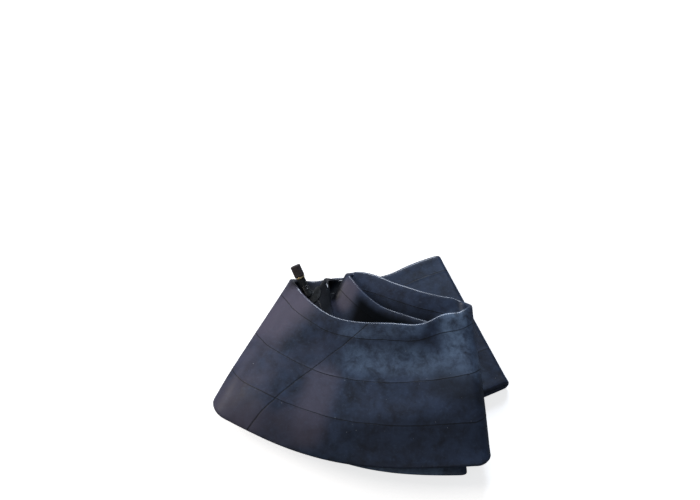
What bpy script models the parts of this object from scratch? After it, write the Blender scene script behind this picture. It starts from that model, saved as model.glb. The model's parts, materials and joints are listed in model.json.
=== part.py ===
"""A flattened butyl inner tube, folded into six panels and laid on its side, with a rubber-covered valve.

The ring is pressed flat, so it is a closed ribbon with two walls and a thin lumen. Six fold lines turn it
back on itself. Level 1 is the panel on the ground and level 6 the one on top. The order round the ring is
the order of FOLDS. All sizes are in metres, +Z is up, and the origin is the centre of the base.
"""
import math
from collections import namedtuple

import bmesh
import bpy
import numpy
from mathutils import Matrix, Vector

MM = 0.001

# ---- the tube ----
WALL = 2.0 * MM                 # rubber of one wall
LUMEN = 0.8 * MM                # air left between the two walls
LEVEL_GAP = 2.4 * MM            # air between one panel and the next, where both lie flat
DRAPE_REACH = 70 * MM           # how far past an edge the panels above take to come down to it
OUTER_EDGE_SWEEP = 0.42         # handle of the outer edge's curve, as a share of its span
PANEL_STEPS = 8
WRAP_STEPS = 8
WIDTH_STATIONS = (0.25, 0.5, 0.75)

# One fold line: the side of the stack that it is on, where it starts at the tube's inner edge, its
# heading (degrees from straight towards the front, positive to the right), how far the edge is out of
# square with it, the levels it joins, its length, and the reach of its bend into the edges beside it.
Fold = namedtuple("Fold", "side corner heading skew arrives leaves length curl")
RIGHT, LEFT = 1, -1
FOLDS = (
    Fold(RIGHT, (92 * MM, 50 * MM), 4.8, 33, 3, 6, 146 * MM, 30 * MM),
    Fold(LEFT, (-50 * MM, 72 * MM), -29.5, 28, 6, 1, 138 * MM, 55 * MM),
    Fold(RIGHT, (73 * MM, 112 * MM), 24.3, -6, 1, 2, 149 * MM, 55 * MM),
    Fold(LEFT, (-22 * MM, 77 * MM), -34, 34, 2, 5, 146 * MM, 55 * MM),
    Fold(RIGHT, (85 * MM, 28 * MM), 1.8, 17, 5, 4, 139 * MM, 45 * MM),
    Fold(LEFT, (-7 * MM, 86 * MM), -28, 28, 4, 3, 145 * MM, 42 * MM),
)
VALVE_FOLD = 3                  # the fold, counted from 0, whose outside carries the valve

# ---- the valve, measured along its own axis from the tube's skin ----
CLEARANCE = 0.3 * MM
VALVE_ALONG_FOLD = 26 * MM      # from the fold's inner end
VALVE_ROUND_FOLD = 20           # degrees up from the side of the fold
VALVE_AZIMUTH = 118             # degrees from +X
VALVE_RISE = 29                 # degrees above level
PAD_RADIUS = 14 * MM
PAD_THICKNESS = 1.5 * MM
PAD_EDGE = 0.5 * MM
PAD_CUT_MARGIN = 4 * MM         # how far the cutter for the stem's foot goes past the pad and the foot
AIR_RADIUS = 1.6 * MM

FOOT_SPREAD = 2 * MM            # from the neck's radius out to the foot's
FOOT_DEPTH = 4 * MM
FOOT_TOP = 3.2 * MM
NECK_START = 8 * MM
NECK_SPREAD = 0.3 * MM          # from the cover's radius at its top out to the neck's
COVER_TOP = 20.2 * MM
COVER_WALL = 0.7 * MM           # at its top

CAP_WALL = 0.7 * MM
CAP_LENGTH = 11.6 * MM
CAP_ROOF = 1.5 * MM
CAP_EDGE = 0.9 * MM
CAP_THREAD_CLEARANCE = 0.35 * MM
CAP_SEAL_THICKNESS = 0.6 * MM

INSERT_START = 4.2 * MM
INSERT_WALL = 0.85 * MM
COLLAR_LEDGE = 0.65 * MM        # from the thread's radius out to the collar's
COLLAR_LENGTH = 1.6 * MM
THREAD_WALL = 1.2 * MM
LOWER_BORE_RADIUS = 2.05 * MM
BORE_WIDENING = 0.6 * MM        # from the lower bore's radius to the upper bore's
BORE_TAPER = 0.6 * MM

PLUG_RECESS = 1.0 * MM          # from the valve's mouth down to the core
PLUG_LENGTH = 4.2 * MM
BARREL_LENGTH = 10.6 * MM
BARREL_WALL = 0.4 * MM
BARREL_FLOOR = 0.9 * MM
SEAL_LENGTH = 1.5 * MM
SEAL_DROP = 0.6 * MM            # from the barrel's end down to the seal round it
PIN_RADIUS = 0.4 * MM
PIN_HEAD_LEDGE = 0.3 * MM       # from the pin's radius out to its head's
PIN_HEAD_LENGTH = 0.6 * MM
PIN_RECESS = 0.4 * MM
PIN_COLLAR_LEDGE = 0.35 * MM    # from the pin's radius out to its collar's
PIN_COLLAR_LENGTH = 0.6 * MM
GASKET_LENGTH = 1.1 * MM
CUP_CLEARANCE = 0.35 * MM       # round the cup, for the air to pass
CUP_WALL = 0.3 * MM
CUP_LIP = 0.9 * MM              # how far the cup's wall comes up round the gasket
CUP_FLOOR = 0.45 * MM
PIN_TAIL = 0.45 * MM            # how far the pin runs on under the gasket
SPRING_WIRE_RADIUS = 0.13 * MM
SPRING_TURNS = 6
SPRING_LENGTH = 5.2 * MM

# ---- radii that follow from the sizes above ----
UPPER_BORE_RADIUS = LOWER_BORE_RADIUS + BORE_WIDENING
INSERT_RADIUS = LOWER_BORE_RADIUS + INSERT_WALL
THREAD_RADIUS = UPPER_BORE_RADIUS + THREAD_WALL
COLLAR_RADIUS = THREAD_RADIUS + COLLAR_LEDGE
CAP_RADIUS = THREAD_RADIUS + CAP_THREAD_CLEARANCE + CAP_WALL
COVER_TOP_RADIUS = INSERT_RADIUS + CLEARANCE + COVER_WALL
NECK_RADIUS = COVER_TOP_RADIUS + NECK_SPREAD
FOOT_RADIUS = NECK_RADIUS + FOOT_SPREAD
PIN_HEAD_RADIUS = PIN_RADIUS + PIN_HEAD_LEDGE
PIN_COLLAR_RADIUS = PIN_RADIUS + PIN_COLLAR_LEDGE
PLUG_BORE = PIN_HEAD_RADIUS + CLEARANCE
BARREL_BORE = PIN_COLLAR_RADIUS + CLEARANCE
BARREL_RADIUS = BARREL_BORE + BARREL_WALL
CUP_BORE = LOWER_BORE_RADIUS - CUP_CLEARANCE - CUP_WALL

# ---- heights that follow from the sizes above ----
COLLAR_START = COVER_TOP + CLEARANCE
CAP_FOOT = COLLAR_START + COLLAR_LENGTH + CLEARANCE
CAP_TOP = CAP_FOOT + CAP_LENGTH
CAP_SEAL_TOP = CAP_TOP - CAP_ROOF - CLEARANCE
MOUTH = CAP_SEAL_TOP - CAP_SEAL_THICKNESS - CLEARANCE
PLUG_START = MOUTH - PLUG_RECESS - PLUG_LENGTH
BARREL_END = PLUG_START - CLEARANCE
BARREL_START = BARREL_END - BARREL_LENGTH
SEAL_START = BARREL_END - SEAL_DROP - SEAL_LENGTH
BORE_STEP = SEAL_START - CLEARANCE - BORE_TAPER
SPRING_START = BARREL_START + BARREL_FLOOR + CLEARANCE
SPRING_END = SPRING_START + SPRING_LENGTH
GASKET_START = BARREL_START - CLEARANCE - GASKET_LENGTH

ROUND_STEPS = 28
DISC_RINGS = 6
SMALL_ROUND_STEPS = 20
TURN_POINTS = 12                # of the spring's wire
MERGE = 0.00001

PANEL_THICKNESS = 2 * WALL + LUMEN
LEVEL_PITCH = PANEL_THICKNESS + LEVEL_GAP    # from one panel's middle to the next one's


# ---- the folded ribbon ----

def unit(degrees):
    """The unit vector that is this far round from +X."""
    angle = math.radians(degrees)
    return numpy.array((math.cos(angle), math.sin(angle)))


def across(fold):
    """Square to the fold line, to the right."""
    return unit(fold.heading)


def along(fold):
    """Along the fold line, from the tube's inner edge to its outer edge."""
    right = across(fold)
    return numpy.array((right[1], -right[0]))


def reach(fold):
    """How far the fold swings out past its own line."""
    return abs(fold.leaves - fold.arrives) / 2 * LEVEL_PITCH


def shift(fold, turn):
    """How far the tube has slid along the fold line, at this turn up from the fold's side."""
    return reach(fold) * turn * math.tan(math.radians(fold.skew))


def end_turn(fold, level):
    """The turn at which the fold meets its panel on this level: a quarter up or a quarter down."""
    return math.pi / 2 if level == max(fold.arrives, fold.leaves) else -math.pi / 2


def bezier(points, share):
    """A point of a cubic curve."""
    rest = 1 - share
    weights = (rest ** 3, 3 * share * rest ** 2, 3 * share ** 2 * rest, share ** 3)
    return sum(weight * point for weight, point in zip(weights, points))


def panel_edges(start, end):
    """The curves of a panel's inner and outer edges, between two folds, seen from above."""
    level = start.leaves
    inner_ends, outer_ends, inner_handles, outer_handles = [], [], [], []
    for fold in (start, end):
        turn = end_turn(fold, level)
        inner = numpy.array(fold.corner) + shift(fold, turn) * along(fold)
        slope = fold.heading + fold.side * math.copysign(fold.skew, turn * fold.skew)
        inner_ends.append(inner)
        outer_ends.append(inner + fold.length * along(fold))
        inner_handles.append(-fold.side * fold.curl * unit(slope))
        outer_handles.append(-fold.side * across(fold))
    sweep = OUTER_EDGE_SWEEP * numpy.linalg.norm(outer_ends[1] - outer_ends[0])
    inner_curve = (inner_ends[0], inner_ends[0] + inner_handles[0], inner_ends[1] + inner_handles[1], inner_ends[1])
    outer_curve = (outer_ends[0], outer_ends[0] + sweep * outer_handles[0],
                   outer_ends[1] + sweep * outer_handles[1], outer_ends[1])
    return inner_curve, outer_curve


def panel_outline(start, end):
    """A panel's outline seen from above, with the swing of the folds at its two ends."""
    inner_curve, outer_curve = panel_edges(start, end)
    shares = [step / PANEL_STEPS for step in range(PANEL_STEPS + 1)]
    inner = [bezier(inner_curve, share) for share in shares]
    outer = [bezier(outer_curve, share) for share in reversed(shares)]
    swings = []
    for fold in (end, start):
        tip = numpy.array(fold.corner) + fold.side * reach(fold) * across(fold)
        swings.append((tip, tip + fold.length * along(fold)))
    return numpy.array(inner + list(swings[0]) + outer + [swings[1][1], swings[1][0]])


OUTLINES = {start.leaves: panel_outline(start, FOLDS[(number + 1) % len(FOLDS)])
            for number, start in enumerate(FOLDS)}


def distance_outside(point, outline):
    """How far a point is outside an outline, or 0 inside it."""
    following = numpy.roll(outline, -1, axis=0)
    edge = following - outline
    offset = point - outline
    share = numpy.clip((offset * edge).sum(axis=1) / (edge ** 2).sum(axis=1), 0, 1)
    gap = numpy.linalg.norm(offset - share[:, None] * edge, axis=1).min()
    straddles = (outline[:, 1] > point[1]) != (following[:, 1] > point[1])
    rise = numpy.where(edge[:, 1] == 0, 1, edge[:, 1])
    crossing = outline[:, 0] + (point[1] - outline[:, 1]) / rise * edge[:, 0]
    inside = (straddles & (point[0] < crossing)).sum() % 2 == 1
    return 0 if inside else gap


def panel_height(point, level):
    """The height of a panel's middle: each panel under it lifts it, less and less past that panel's edge."""
    height = PANEL_THICKNESS / 2
    for below in range(1, level):
        share = max(0, 1 - distance_outside(point, OUTLINES[below]) / DRAPE_REACH)
        height += LEVEL_PITCH * share * share * (3 - 2 * share)
    return height


def fold_point(fold, distance, turn, lift):
    """A point on a fold: the distance along it, the turn round it, and the lift off the ribbon's middle."""
    upper, lower = max(fold.arrives, fold.leaves), min(fold.arrives, fold.leaves)
    line = numpy.array(fold.corner) + distance * along(fold)
    quarter = shift(fold, math.pi / 2)
    top = panel_height(line + quarter * along(fold), upper)
    bottom = panel_height(line - quarter * along(fold), lower)
    wide, tall = reach(fold), (top - bottom) / 2
    normal = numpy.array((math.cos(turn) / wide, math.sin(turn) / tall))
    normal *= lift / numpy.linalg.norm(normal)
    swing = fold.side * (wide * math.cos(turn) + normal[0])
    place = line + shift(fold, turn) * along(fold) + swing * across(fold)
    return Vector((*place, (top + bottom) / 2 + tall * math.sin(turn) + normal[1]))


def fold_stations(fold, face):
    """The functions (share of the width, lift) that give the ribbon's points round one fold."""
    start = end_turn(fold, fold.arrives)
    turns = [start * (1 - 2 * step / WRAP_STEPS) for step in range(WRAP_STEPS + 1)]
    return [lambda share, lift, turn=turn: fold_point(fold, share * fold.length, turn, face * lift)
            for turn in turns]


def panel_stations(start, end, face):
    """The same for one flat panel, without its two ends."""
    inner_curve, outer_curve = panel_edges(start, end)

    def point(share, lift, place):
        inner, outer = bezier(inner_curve, place), bezier(outer_curve, place)
        spot = inner + share * (outer - inner)
        return Vector((*spot, panel_height(spot, start.leaves) + face * lift))

    places = [step / PANEL_STEPS for step in range(1, PANEL_STEPS)]
    return [lambda share, lift, place=place: point(share, lift, place) for place in places]


def ribbon_stations():
    """All stations round the ring. The side of the ribbon that faces up changes at every fold."""
    stations = []
    face = -1
    for number, fold in enumerate(FOLDS):
        outward = face * math.copysign(1, end_turn(fold, fold.arrives))
        stations += fold_stations(fold, outward)
        face = -face
        stations += panel_stations(fold, FOLDS[(number + 1) % len(FOLDS)], face)
    return stations


def section_points(station, half, inset):
    """A flattened section: two flat sides and two round edges, drawn once round."""
    width = (station(1, 0) - station(0, 0)).length
    edge = (inset + half) / width
    tip = inset / width
    corner = (inset + half * (1 - math.cos(math.pi / 4))) / width
    slant = half * math.sin(math.pi / 4)
    upper = [(tip, 0), (corner, slant), (edge, half)]
    upper += [(share, half) for share in WIDTH_STATIONS]
    upper += [(1 - edge, half), (1 - corner, slant), (1 - tip, 0)]
    lower = [(share, -lift) for share, lift in reversed(upper[1:-1])]
    return [station(share, lift) for share, lift in upper + lower]


def add_skin(mesh, half, inset, inward):
    """Lofts one closed skin of the ribbon round the ring."""
    rings = [[mesh.verts.new(point) for point in section_points(station, half, inset)]
             for station in ribbon_stations()]
    faces = []
    for number, ring in enumerate(rings):
        following = rings[(number + 1) % len(rings)]
        for index in range(len(ring)):
            after = (index + 1) % len(ring)
            faces.append(mesh.faces.new((ring[index], ring[after], following[after], following[index])))
    bmesh.ops.recalc_face_normals(mesh, faces=faces)
    if inward:
        bmesh.ops.reverse_faces(mesh, faces=faces)


# ---- objects and materials ----

def clear_scene():
    for item in list(bpy.data.objects):
        bpy.data.objects.remove(item, do_unlink=True)


def make_collection(name):
    collection = bpy.data.collections.new(name)
    bpy.context.scene.collection.children.link(collection)
    return collection


def make_material(name, colour, roughness, metallic=0.0):
    material = bpy.data.materials.new(name)
    material.use_nodes = True
    shader = material.node_tree.nodes["Principled BSDF"]
    shader.inputs["Base Color"].default_value = (*colour, 1)
    shader.inputs["Roughness"].default_value = roughness
    shader.inputs["Metallic"].default_value = metallic
    return material


def mesh_object(name, mesh, collection, material=None, parent=None):
    data = bpy.data.meshes.new(name)
    mesh.to_mesh(data)
    mesh.free()
    item = bpy.data.objects.new(name, data)
    collection.objects.link(item)
    item.parent = parent
    if material:
        data.materials.append(material)
        data.shade_smooth()
        data.set_sharp_from_angle(angle=math.radians(40))
    return item


def turned(name, profile, collection, material=None, parent=None, steps=ROUND_STEPS):
    """Turns a closed outline of (radius, height) points about +Z. It runs down its outer side first."""
    mesh = bmesh.new()
    points = [mesh.verts.new((radius, 0, height)) for radius, height in profile]
    for number, point in enumerate(points):
        following = points[(number + 1) % len(points)]
        if point.co.x or following.co.x:
            mesh.edges.new((point, following))
    item = mesh_object(name, mesh, collection, material, parent)
    screw = item.modifiers.new("turn", "SCREW")
    screw.axis = "Z"
    screw.steps = steps
    screw.render_steps = steps
    screw.use_merge_vertices = True
    screw.merge_threshold = MERGE
    screw.use_smooth_shade = True
    return item


def washer(name, outer, inner, bottom, top, collection, material, parent, steps=ROUND_STEPS):
    """A plain ring, or a disc where the inner radius is 0."""
    profile = ((outer, top), (outer, bottom), (inner, bottom), (inner, top))
    return turned(name, profile, collection, material, parent, steps)


def cut(item, cutter):
    """Cuts one object from another, with the exact solver."""
    cutter.hide_render = True
    cutter.display_type = "WIRE"
    boolean = item.modifiers.new("cut", "BOOLEAN")
    boolean.operation = "DIFFERENCE"
    boolean.object = cutter
    boolean.solver = "EXACT"


# ---- the pieces ----

def valve_matrix():
    """The valve's frame: its origin on the tube's skin, its Z along the stem."""
    fold = FOLDS[VALVE_FOLD]
    base = fold_point(fold, VALVE_ALONG_FOLD, math.radians(VALVE_ROUND_FOLD), PANEL_THICKNESS / 2)
    level = unit(VALVE_AZIMUTH) * math.cos(math.radians(VALVE_RISE))
    axis = Vector((*level, math.sin(math.radians(VALVE_RISE))))
    return Matrix.Translation(base) @ axis.to_track_quat("Z", "Y").to_matrix().to_4x4()


def skin_disc(radius, bottom, top, edge_top, hole):
    """A disc, with or without a hole, bent to the fold under the valve. Heights are over the tube's skin."""
    fold = FOLDS[VALVE_FOLD]
    middle_turn = math.radians(VALVE_ROUND_FOLD)
    girth = reach(fold) + PANEL_THICKNESS / 2

    def place(spread, angle, height):
        distance = VALVE_ALONG_FOLD + spread * math.cos(angle)
        turn = middle_turn + spread * math.sin(angle) / girth
        distance -= shift(fold, turn) - shift(fold, middle_turn)
        return fold_point(fold, distance, turn, PANEL_THICKNESS / 2 + height)

    mesh = bmesh.new()
    flat = FOOT_RADIUS + CLEARANCE
    upper = []
    for number in range(DISC_RINGS + 1):
        spread = hole + (radius - hole) * number / DISC_RINGS
        fall = max(0, spread - flat) / (radius - flat)
        upper.append((spread, top + (edge_top - top) * fall))
    lower = [(spread, bottom) for spread, height in reversed(upper)]
    rings = []
    for spread, height in upper + lower:
        angles = [2 * math.pi * step / ROUND_STEPS for step in range(ROUND_STEPS)]
        rings.append([mesh.verts.new(place(spread, angle, height)) for angle in angles])
    last = len(rings) if hole else len(rings) - 1
    for number in range(last):
        ring, following = rings[number], rings[(number + 1) % len(rings)]
        for index in range(ROUND_STEPS):
            after = (index + 1) % ROUND_STEPS
            mesh.faces.new((ring[index], ring[after], following[after], following[index]))
    bmesh.ops.remove_doubles(mesh, verts=mesh.verts, dist=MERGE)
    bmesh.ops.recalc_face_normals(mesh, faces=mesh.faces)
    return mesh


def build_tube(parts, cutters):
    """Two skins make the wall and the lumen. The valve's air hole joins the lumen to the outside."""
    rubber = make_material("butyl_rubber", (0.045, 0.052, 0.066), 0.55)
    mesh = bmesh.new()
    add_skin(mesh, PANEL_THICKNESS / 2, 0, inward=False)
    add_skin(mesh, LUMEN / 2, WALL, inward=True)
    body = mesh_object("tube_body", mesh, parts, rubber)

    fold = FOLDS[VALVE_FOLD]
    turn = math.radians(VALVE_ROUND_FOLD)
    outside = fold_point(fold, VALVE_ALONG_FOLD, turn, PANEL_THICKNESS / 2)
    middle = fold_point(fold, VALVE_ALONG_FOLD, turn, 0)
    drill = bmesh.new()
    way = (outside - middle).normalized()
    length = 2 * PANEL_THICKNESS
    frame = Matrix.Translation(middle + way * length / 2) @ way.to_track_quat("Z", "Y").to_matrix().to_4x4()
    bmesh.ops.create_cone(drill, cap_ends=True, segments=ROUND_STEPS, radius1=AIR_RADIUS, radius2=AIR_RADIUS,
                          depth=length, matrix=frame)
    cut(body, mesh_object("air_drill", drill, cutters))


def build_pad(parts):
    """The rubber base pad, vulcanised to the tube round the valve."""
    rubber = make_material("valve_pad_rubber", (0.03, 0.032, 0.034), 0.5)
    mesh = skin_disc(PAD_RADIUS, CLEARANCE, CLEARANCE + PAD_THICKNESS, CLEARANCE + PAD_EDGE, AIR_RADIUS)
    mesh_object("valve_patch", mesh, parts, rubber)


def build_cover(parts, cutters, valve):
    """The moulded rubber stem cover, whose foot is cut to sit on the pad."""
    rubber = make_material("valve_rubber", (0.02, 0.022, 0.024), 0.45)
    bore = INSERT_RADIUS + CLEARANCE
    seat = INSERT_START - CLEARANCE
    profile = (
        (COVER_TOP_RADIUS, COVER_TOP), (NECK_RADIUS, NECK_START), (FOOT_RADIUS, FOOT_TOP),
        (FOOT_RADIUS, -FOOT_DEPTH), (AIR_RADIUS, -FOOT_DEPTH), (AIR_RADIUS, seat), (bore, seat),
        (bore, COVER_TOP),
    )
    cover = turned("valve_stem_rubber", profile, parts, rubber, valve)
    pad_top = 2 * CLEARANCE + PAD_THICKNESS
    below = skin_disc(PAD_RADIUS + PAD_CUT_MARGIN, -FOOT_DEPTH - PAD_CUT_MARGIN, pad_top, pad_top, 0)
    cut(cover, mesh_object("pad_space", below, cutters))
    return cover


def build_insert(parts, valve):
    """The brass stem insert: collar, cap thread and the stepped bore for the core."""
    brass = make_material("stem_brass", (0.62, 0.48, 0.22), 0.32, 1.0)
    shoulder = COLLAR_START + COLLAR_LENGTH
    profile = (
        (THREAD_RADIUS, MOUTH), (THREAD_RADIUS, shoulder), (COLLAR_RADIUS, shoulder),
        (COLLAR_RADIUS, COLLAR_START), (INSERT_RADIUS, COLLAR_START), (INSERT_RADIUS, INSERT_START),
        (LOWER_BORE_RADIUS, INSERT_START), (LOWER_BORE_RADIUS, BORE_STEP),
        (UPPER_BORE_RADIUS, BORE_STEP + BORE_TAPER), (UPPER_BORE_RADIUS, MOUTH),
    )
    turned("valve_stem_insert", profile, parts, brass, valve)


def build_core(parts, valve):
    """The fixed half of the valve core: the plug, its seal and the barrel with the spring in it."""
    brass = make_material("core_brass", (0.66, 0.52, 0.25), 0.3, 1.0)
    steel = make_material("core_spring_steel", (0.5, 0.5, 0.5), 0.28, 1.0)
    seal = make_material("core_plug_seal_rubber", (0.6, 0.6, 0.56), 0.5)
    fit = UPPER_BORE_RADIUS - CLEARANCE
    washer("core_plug", fit, PLUG_BORE, PLUG_START, PLUG_START + PLUG_LENGTH, parts, brass, valve,
           SMALL_ROUND_STEPS)
    washer("core_plug_seal", fit, BARREL_RADIUS + CLEARANCE, SEAL_START, SEAL_START + SEAL_LENGTH, parts, seal,
           valve, SMALL_ROUND_STEPS)
    hole = PIN_RADIUS + CLEARANCE
    floor = BARREL_START + BARREL_FLOOR
    barrel = (
        (BARREL_RADIUS, BARREL_END), (BARREL_RADIUS, BARREL_START), (hole, BARREL_START), (hole, floor),
        (BARREL_BORE, floor), (BARREL_BORE, BARREL_END),
    )
    turned("core_barrel", barrel, parts, brass, valve, SMALL_ROUND_STEPS)
    build_spring(parts, steel, valve)


def build_pin(parts, pin_axis):
    """The moving half of the core: the pin, and the gasket and cup that it carries at its lower end."""
    steel = make_material("core_pin_steel", (0.5, 0.5, 0.5), 0.28, 1.0)
    rubber = make_material("core_gasket_rubber", (0.03, 0.03, 0.03), 0.5)
    brass = make_material("core_cup_brass", (0.66, 0.52, 0.25), 0.3, 1.0)
    head = MOUTH - PIN_RECESS
    neck = head - PIN_HEAD_LENGTH
    collar = SPRING_END + CLEARANCE
    collar_top = collar + PIN_COLLAR_LENGTH
    tail = GASKET_START - PIN_TAIL
    pin = (
        (0, head), (PIN_HEAD_RADIUS, head), (PIN_HEAD_RADIUS, neck), (PIN_RADIUS, neck),
        (PIN_RADIUS, collar_top), (PIN_COLLAR_RADIUS, collar_top), (PIN_COLLAR_RADIUS, collar),
        (PIN_RADIUS, collar), (PIN_RADIUS, tail), (0, tail),
    )
    turned("core_pin", pin, parts, steel, pin_axis, SMALL_ROUND_STEPS)
    washer("core_cup_gasket", CUP_BORE - CLEARANCE, PIN_RADIUS + CLEARANCE, GASKET_START,
           GASKET_START + GASKET_LENGTH, parts, rubber, pin_axis, SMALL_ROUND_STEPS)
    lip = GASKET_START + CUP_LIP
    inside = tail - CLEARANCE
    outside = inside - CUP_FLOOR
    cup = (
        (CUP_BORE + CUP_WALL, lip), (CUP_BORE + CUP_WALL, outside), (0, outside), (0, inside),
        (CUP_BORE, inside), (CUP_BORE, lip),
    )
    turned("core_cup", cup, parts, brass, pin_axis, SMALL_ROUND_STEPS)


def build_spring(parts, steel, valve):
    """The pin's return spring, wound in the barrel round the pin."""
    start, end = SPRING_START + SPRING_WIRE_RADIUS, SPRING_END - SPRING_WIRE_RADIUS
    curve = bpy.data.curves.new("core_spring", "CURVE")
    curve.dimensions = "3D"
    curve.bevel_depth = SPRING_WIRE_RADIUS
    curve.bevel_resolution = 1
    curve.use_fill_caps = True
    coil_radius = (PIN_RADIUS + BARREL_BORE) / 2
    count = SPRING_TURNS * TURN_POINTS
    line = curve.splines.new("POLY")
    line.points.add(count)
    for number in range(count + 1):
        angle = 2 * math.pi * SPRING_TURNS * number / count
        height = start + (end - start) * number / count
        line.points[number].co = (coil_radius * math.cos(angle), coil_radius * math.sin(angle), height, 1)
    curve.materials.append(steel)
    spring = bpy.data.objects.new("core_spring", curve)
    parts.objects.link(spring)
    spring.parent = valve


def build_cap(parts, valve):
    """The plastic dust cap and the rubber seal in its roof."""
    plastic = make_material("cap_plastic", (0.028, 0.026, 0.026), 0.5)
    rubber = make_material("cap_seal_rubber", (0.3, 0.05, 0.04), 0.6)
    bore = THREAD_RADIUS + CAP_THREAD_CLEARANCE
    roof = CAP_TOP - CAP_ROOF
    profile = (
        (0, CAP_TOP), (CAP_RADIUS - CAP_EDGE, CAP_TOP), (CAP_RADIUS, CAP_TOP - CAP_EDGE), (CAP_RADIUS, CAP_FOOT),
        (bore, CAP_FOOT), (bore, roof), (0, roof),
    )
    turned("valve_cap", profile, parts, plastic, valve)
    washer("cap_seal", bore - CLEARANCE, PIN_HEAD_RADIUS, CAP_SEAL_TOP - CAP_SEAL_THICKNESS, CAP_SEAL_TOP,
           parts, rubber, valve)


def make_empty(name, collection, matrix):
    empty = bpy.data.objects.new(name, None)
    collection.objects.link(empty)
    empty.matrix_world = matrix
    return empty


def centre_on_base(collections):
    """Moves everything so that the origin is the centre of the base of the parts' box."""
    bpy.context.view_layer.update()
    graph = bpy.context.evaluated_depsgraph_get()
    points = []
    for item in collections[0].objects:
        if item.type != "EMPTY":
            shape = item.evaluated_get(graph)
            data = shape.to_mesh()
            points += [shape.matrix_world @ vertex.co for vertex in data.vertices]
            shape.to_mesh_clear()
    low = Vector([min(point[axis] for point in points) for axis in range(3)])
    high = Vector([max(point[axis] for point in points) for axis in range(3)])
    middle = (low + high) / 2
    for collection in collections:
        for item in collection.objects:
            if item.parent is None:
                item.location -= Vector((middle.x, middle.y, low.z))


def main():
    clear_scene()
    parts = make_collection("inner_tube")
    cutters = make_collection("cutters")
    valve = make_empty("valve_axis", parts, valve_matrix())
    pin_axis = make_empty("pin_axis", parts, valve_matrix())
    build_tube(parts, cutters)
    build_pad(parts)
    build_cover(parts, cutters, valve)
    build_insert(parts, valve)
    build_core(parts, valve)
    build_pin(parts, pin_axis)
    build_cap(parts, valve)
    centre_on_base((parts, cutters))


main()
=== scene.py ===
import json
import math

import bmesh
import bpy
import numpy as np
from mathutils import Matrix, Vector, noise
from mathutils.bvhtree import BVHTree


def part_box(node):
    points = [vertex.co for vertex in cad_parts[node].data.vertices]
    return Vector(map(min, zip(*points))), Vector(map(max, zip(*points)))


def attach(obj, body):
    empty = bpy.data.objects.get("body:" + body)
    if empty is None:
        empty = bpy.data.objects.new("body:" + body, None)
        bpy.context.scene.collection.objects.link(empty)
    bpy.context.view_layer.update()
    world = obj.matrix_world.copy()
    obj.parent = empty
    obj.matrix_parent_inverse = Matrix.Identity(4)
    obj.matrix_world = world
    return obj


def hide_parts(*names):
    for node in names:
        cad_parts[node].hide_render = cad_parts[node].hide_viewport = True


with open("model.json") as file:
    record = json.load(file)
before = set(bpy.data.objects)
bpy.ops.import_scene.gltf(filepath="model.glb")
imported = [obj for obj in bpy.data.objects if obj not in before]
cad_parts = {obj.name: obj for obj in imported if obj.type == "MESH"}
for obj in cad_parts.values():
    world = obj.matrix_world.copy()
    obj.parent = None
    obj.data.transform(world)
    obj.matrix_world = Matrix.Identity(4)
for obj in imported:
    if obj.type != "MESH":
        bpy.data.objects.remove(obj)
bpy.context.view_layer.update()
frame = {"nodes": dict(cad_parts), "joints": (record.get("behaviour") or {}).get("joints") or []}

mm = 0.001
weld = 0.002 * mm                 # points nearer than this are one
print("frame loaded:", len(frame["nodes"]), "nodes")


def linear(hexColour):  # sRGB hex to the linear values that Blender wants
    channels = [int(hexColour[i:i + 2], 16) / 255 for i in (1, 3, 5)]
    return (*(c / 12.92 if c <= 0.04045 else ((c + 0.055) / 1.055) ** 2.4 for c in channels), 1.0)


def addNode(tree, kind, settings=None, inputs=None):  # an input is a value, or an output socket to link
    node = tree.nodes.new(kind)
    for name, value in (settings or {}).items():
        setattr(node, name, value)
    for name, value in (inputs or {}).items():
        if isinstance(value, bpy.types.NodeSocket):
            tree.links.new(value, node.inputs[name])
        else:
            node.inputs[name].default_value = value
    return node


def newMaterial(name):
    material = bpy.data.materials.new(name)
    material.use_nodes = True
    tree = material.node_tree
    return material, tree, tree.nodes["Principled BSDF"]


def finishPiece(bm, name, material, body):
    bmesh.ops.remove_doubles(bm, verts=bm.verts, dist=weld)
    bmesh.ops.recalc_face_normals(bm, faces=bm.faces)
    mesh = bpy.data.meshes.new(name)
    bm.to_mesh(mesh)
    bm.free()
    mesh.shade_smooth()
    mesh.materials.append(material)
    piece = bpy.data.objects.new(name, mesh)
    bpy.context.scene.collection.objects.link(piece)
    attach(piece, body)
    return piece


tube = {
    "wall": 2.0 * mm,
    "lumen": 0.8 * mm,
    "levelPitch": 7.2 * mm,      # between the middles of two panels that lie flat
    "drapeReach": 70 * mm,       # how far past an edge the panels above come down
    "edgeSweep": 0.42,           # handle of the outer edge's curve, as a share of its span
    "panelSteps": 76,
    "wrapSteps": 16,
    # in order round the ring: which side it is on, its inner corner in mm, its heading and skew in degrees,
    # the levels it joins, its length and the curl of the inner edge beside it in mm
    "folds": (
        dict(side=1, corner=(92, 50), heading=4.8, skew=33, arrives=3, leaves=6, length=146, curl=30),
        dict(side=-1, corner=(-50, 72), heading=-29.5, skew=28, arrives=6, leaves=1, length=138, curl=55),
        dict(side=1, corner=(73, 112), heading=24.3, skew=-6, arrives=1, leaves=2, length=149, curl=55),
        dict(side=-1, corner=(-22, 77), heading=-34, skew=34, arrives=2, leaves=5, length=146, curl=55),
        dict(side=1, corner=(85, 28), heading=1.8, skew=17, arrives=5, leaves=4, length=139, curl=45),
        dict(side=-1, corner=(-7, 86), heading=-28, skew=28, arrives=4, leaves=3, length=145, curl=42),
    ),
}
tube["half"] = tube["wall"] + tube["lumen"] / 2


def smooth(share):  # 0 to 1 with soft ends
    share = np.clip(share, 0, 1)
    return share * share * (3 - 2 * share)


def unit(degrees):
    return np.array((math.cos(math.radians(degrees)), math.sin(math.radians(degrees))))


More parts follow.
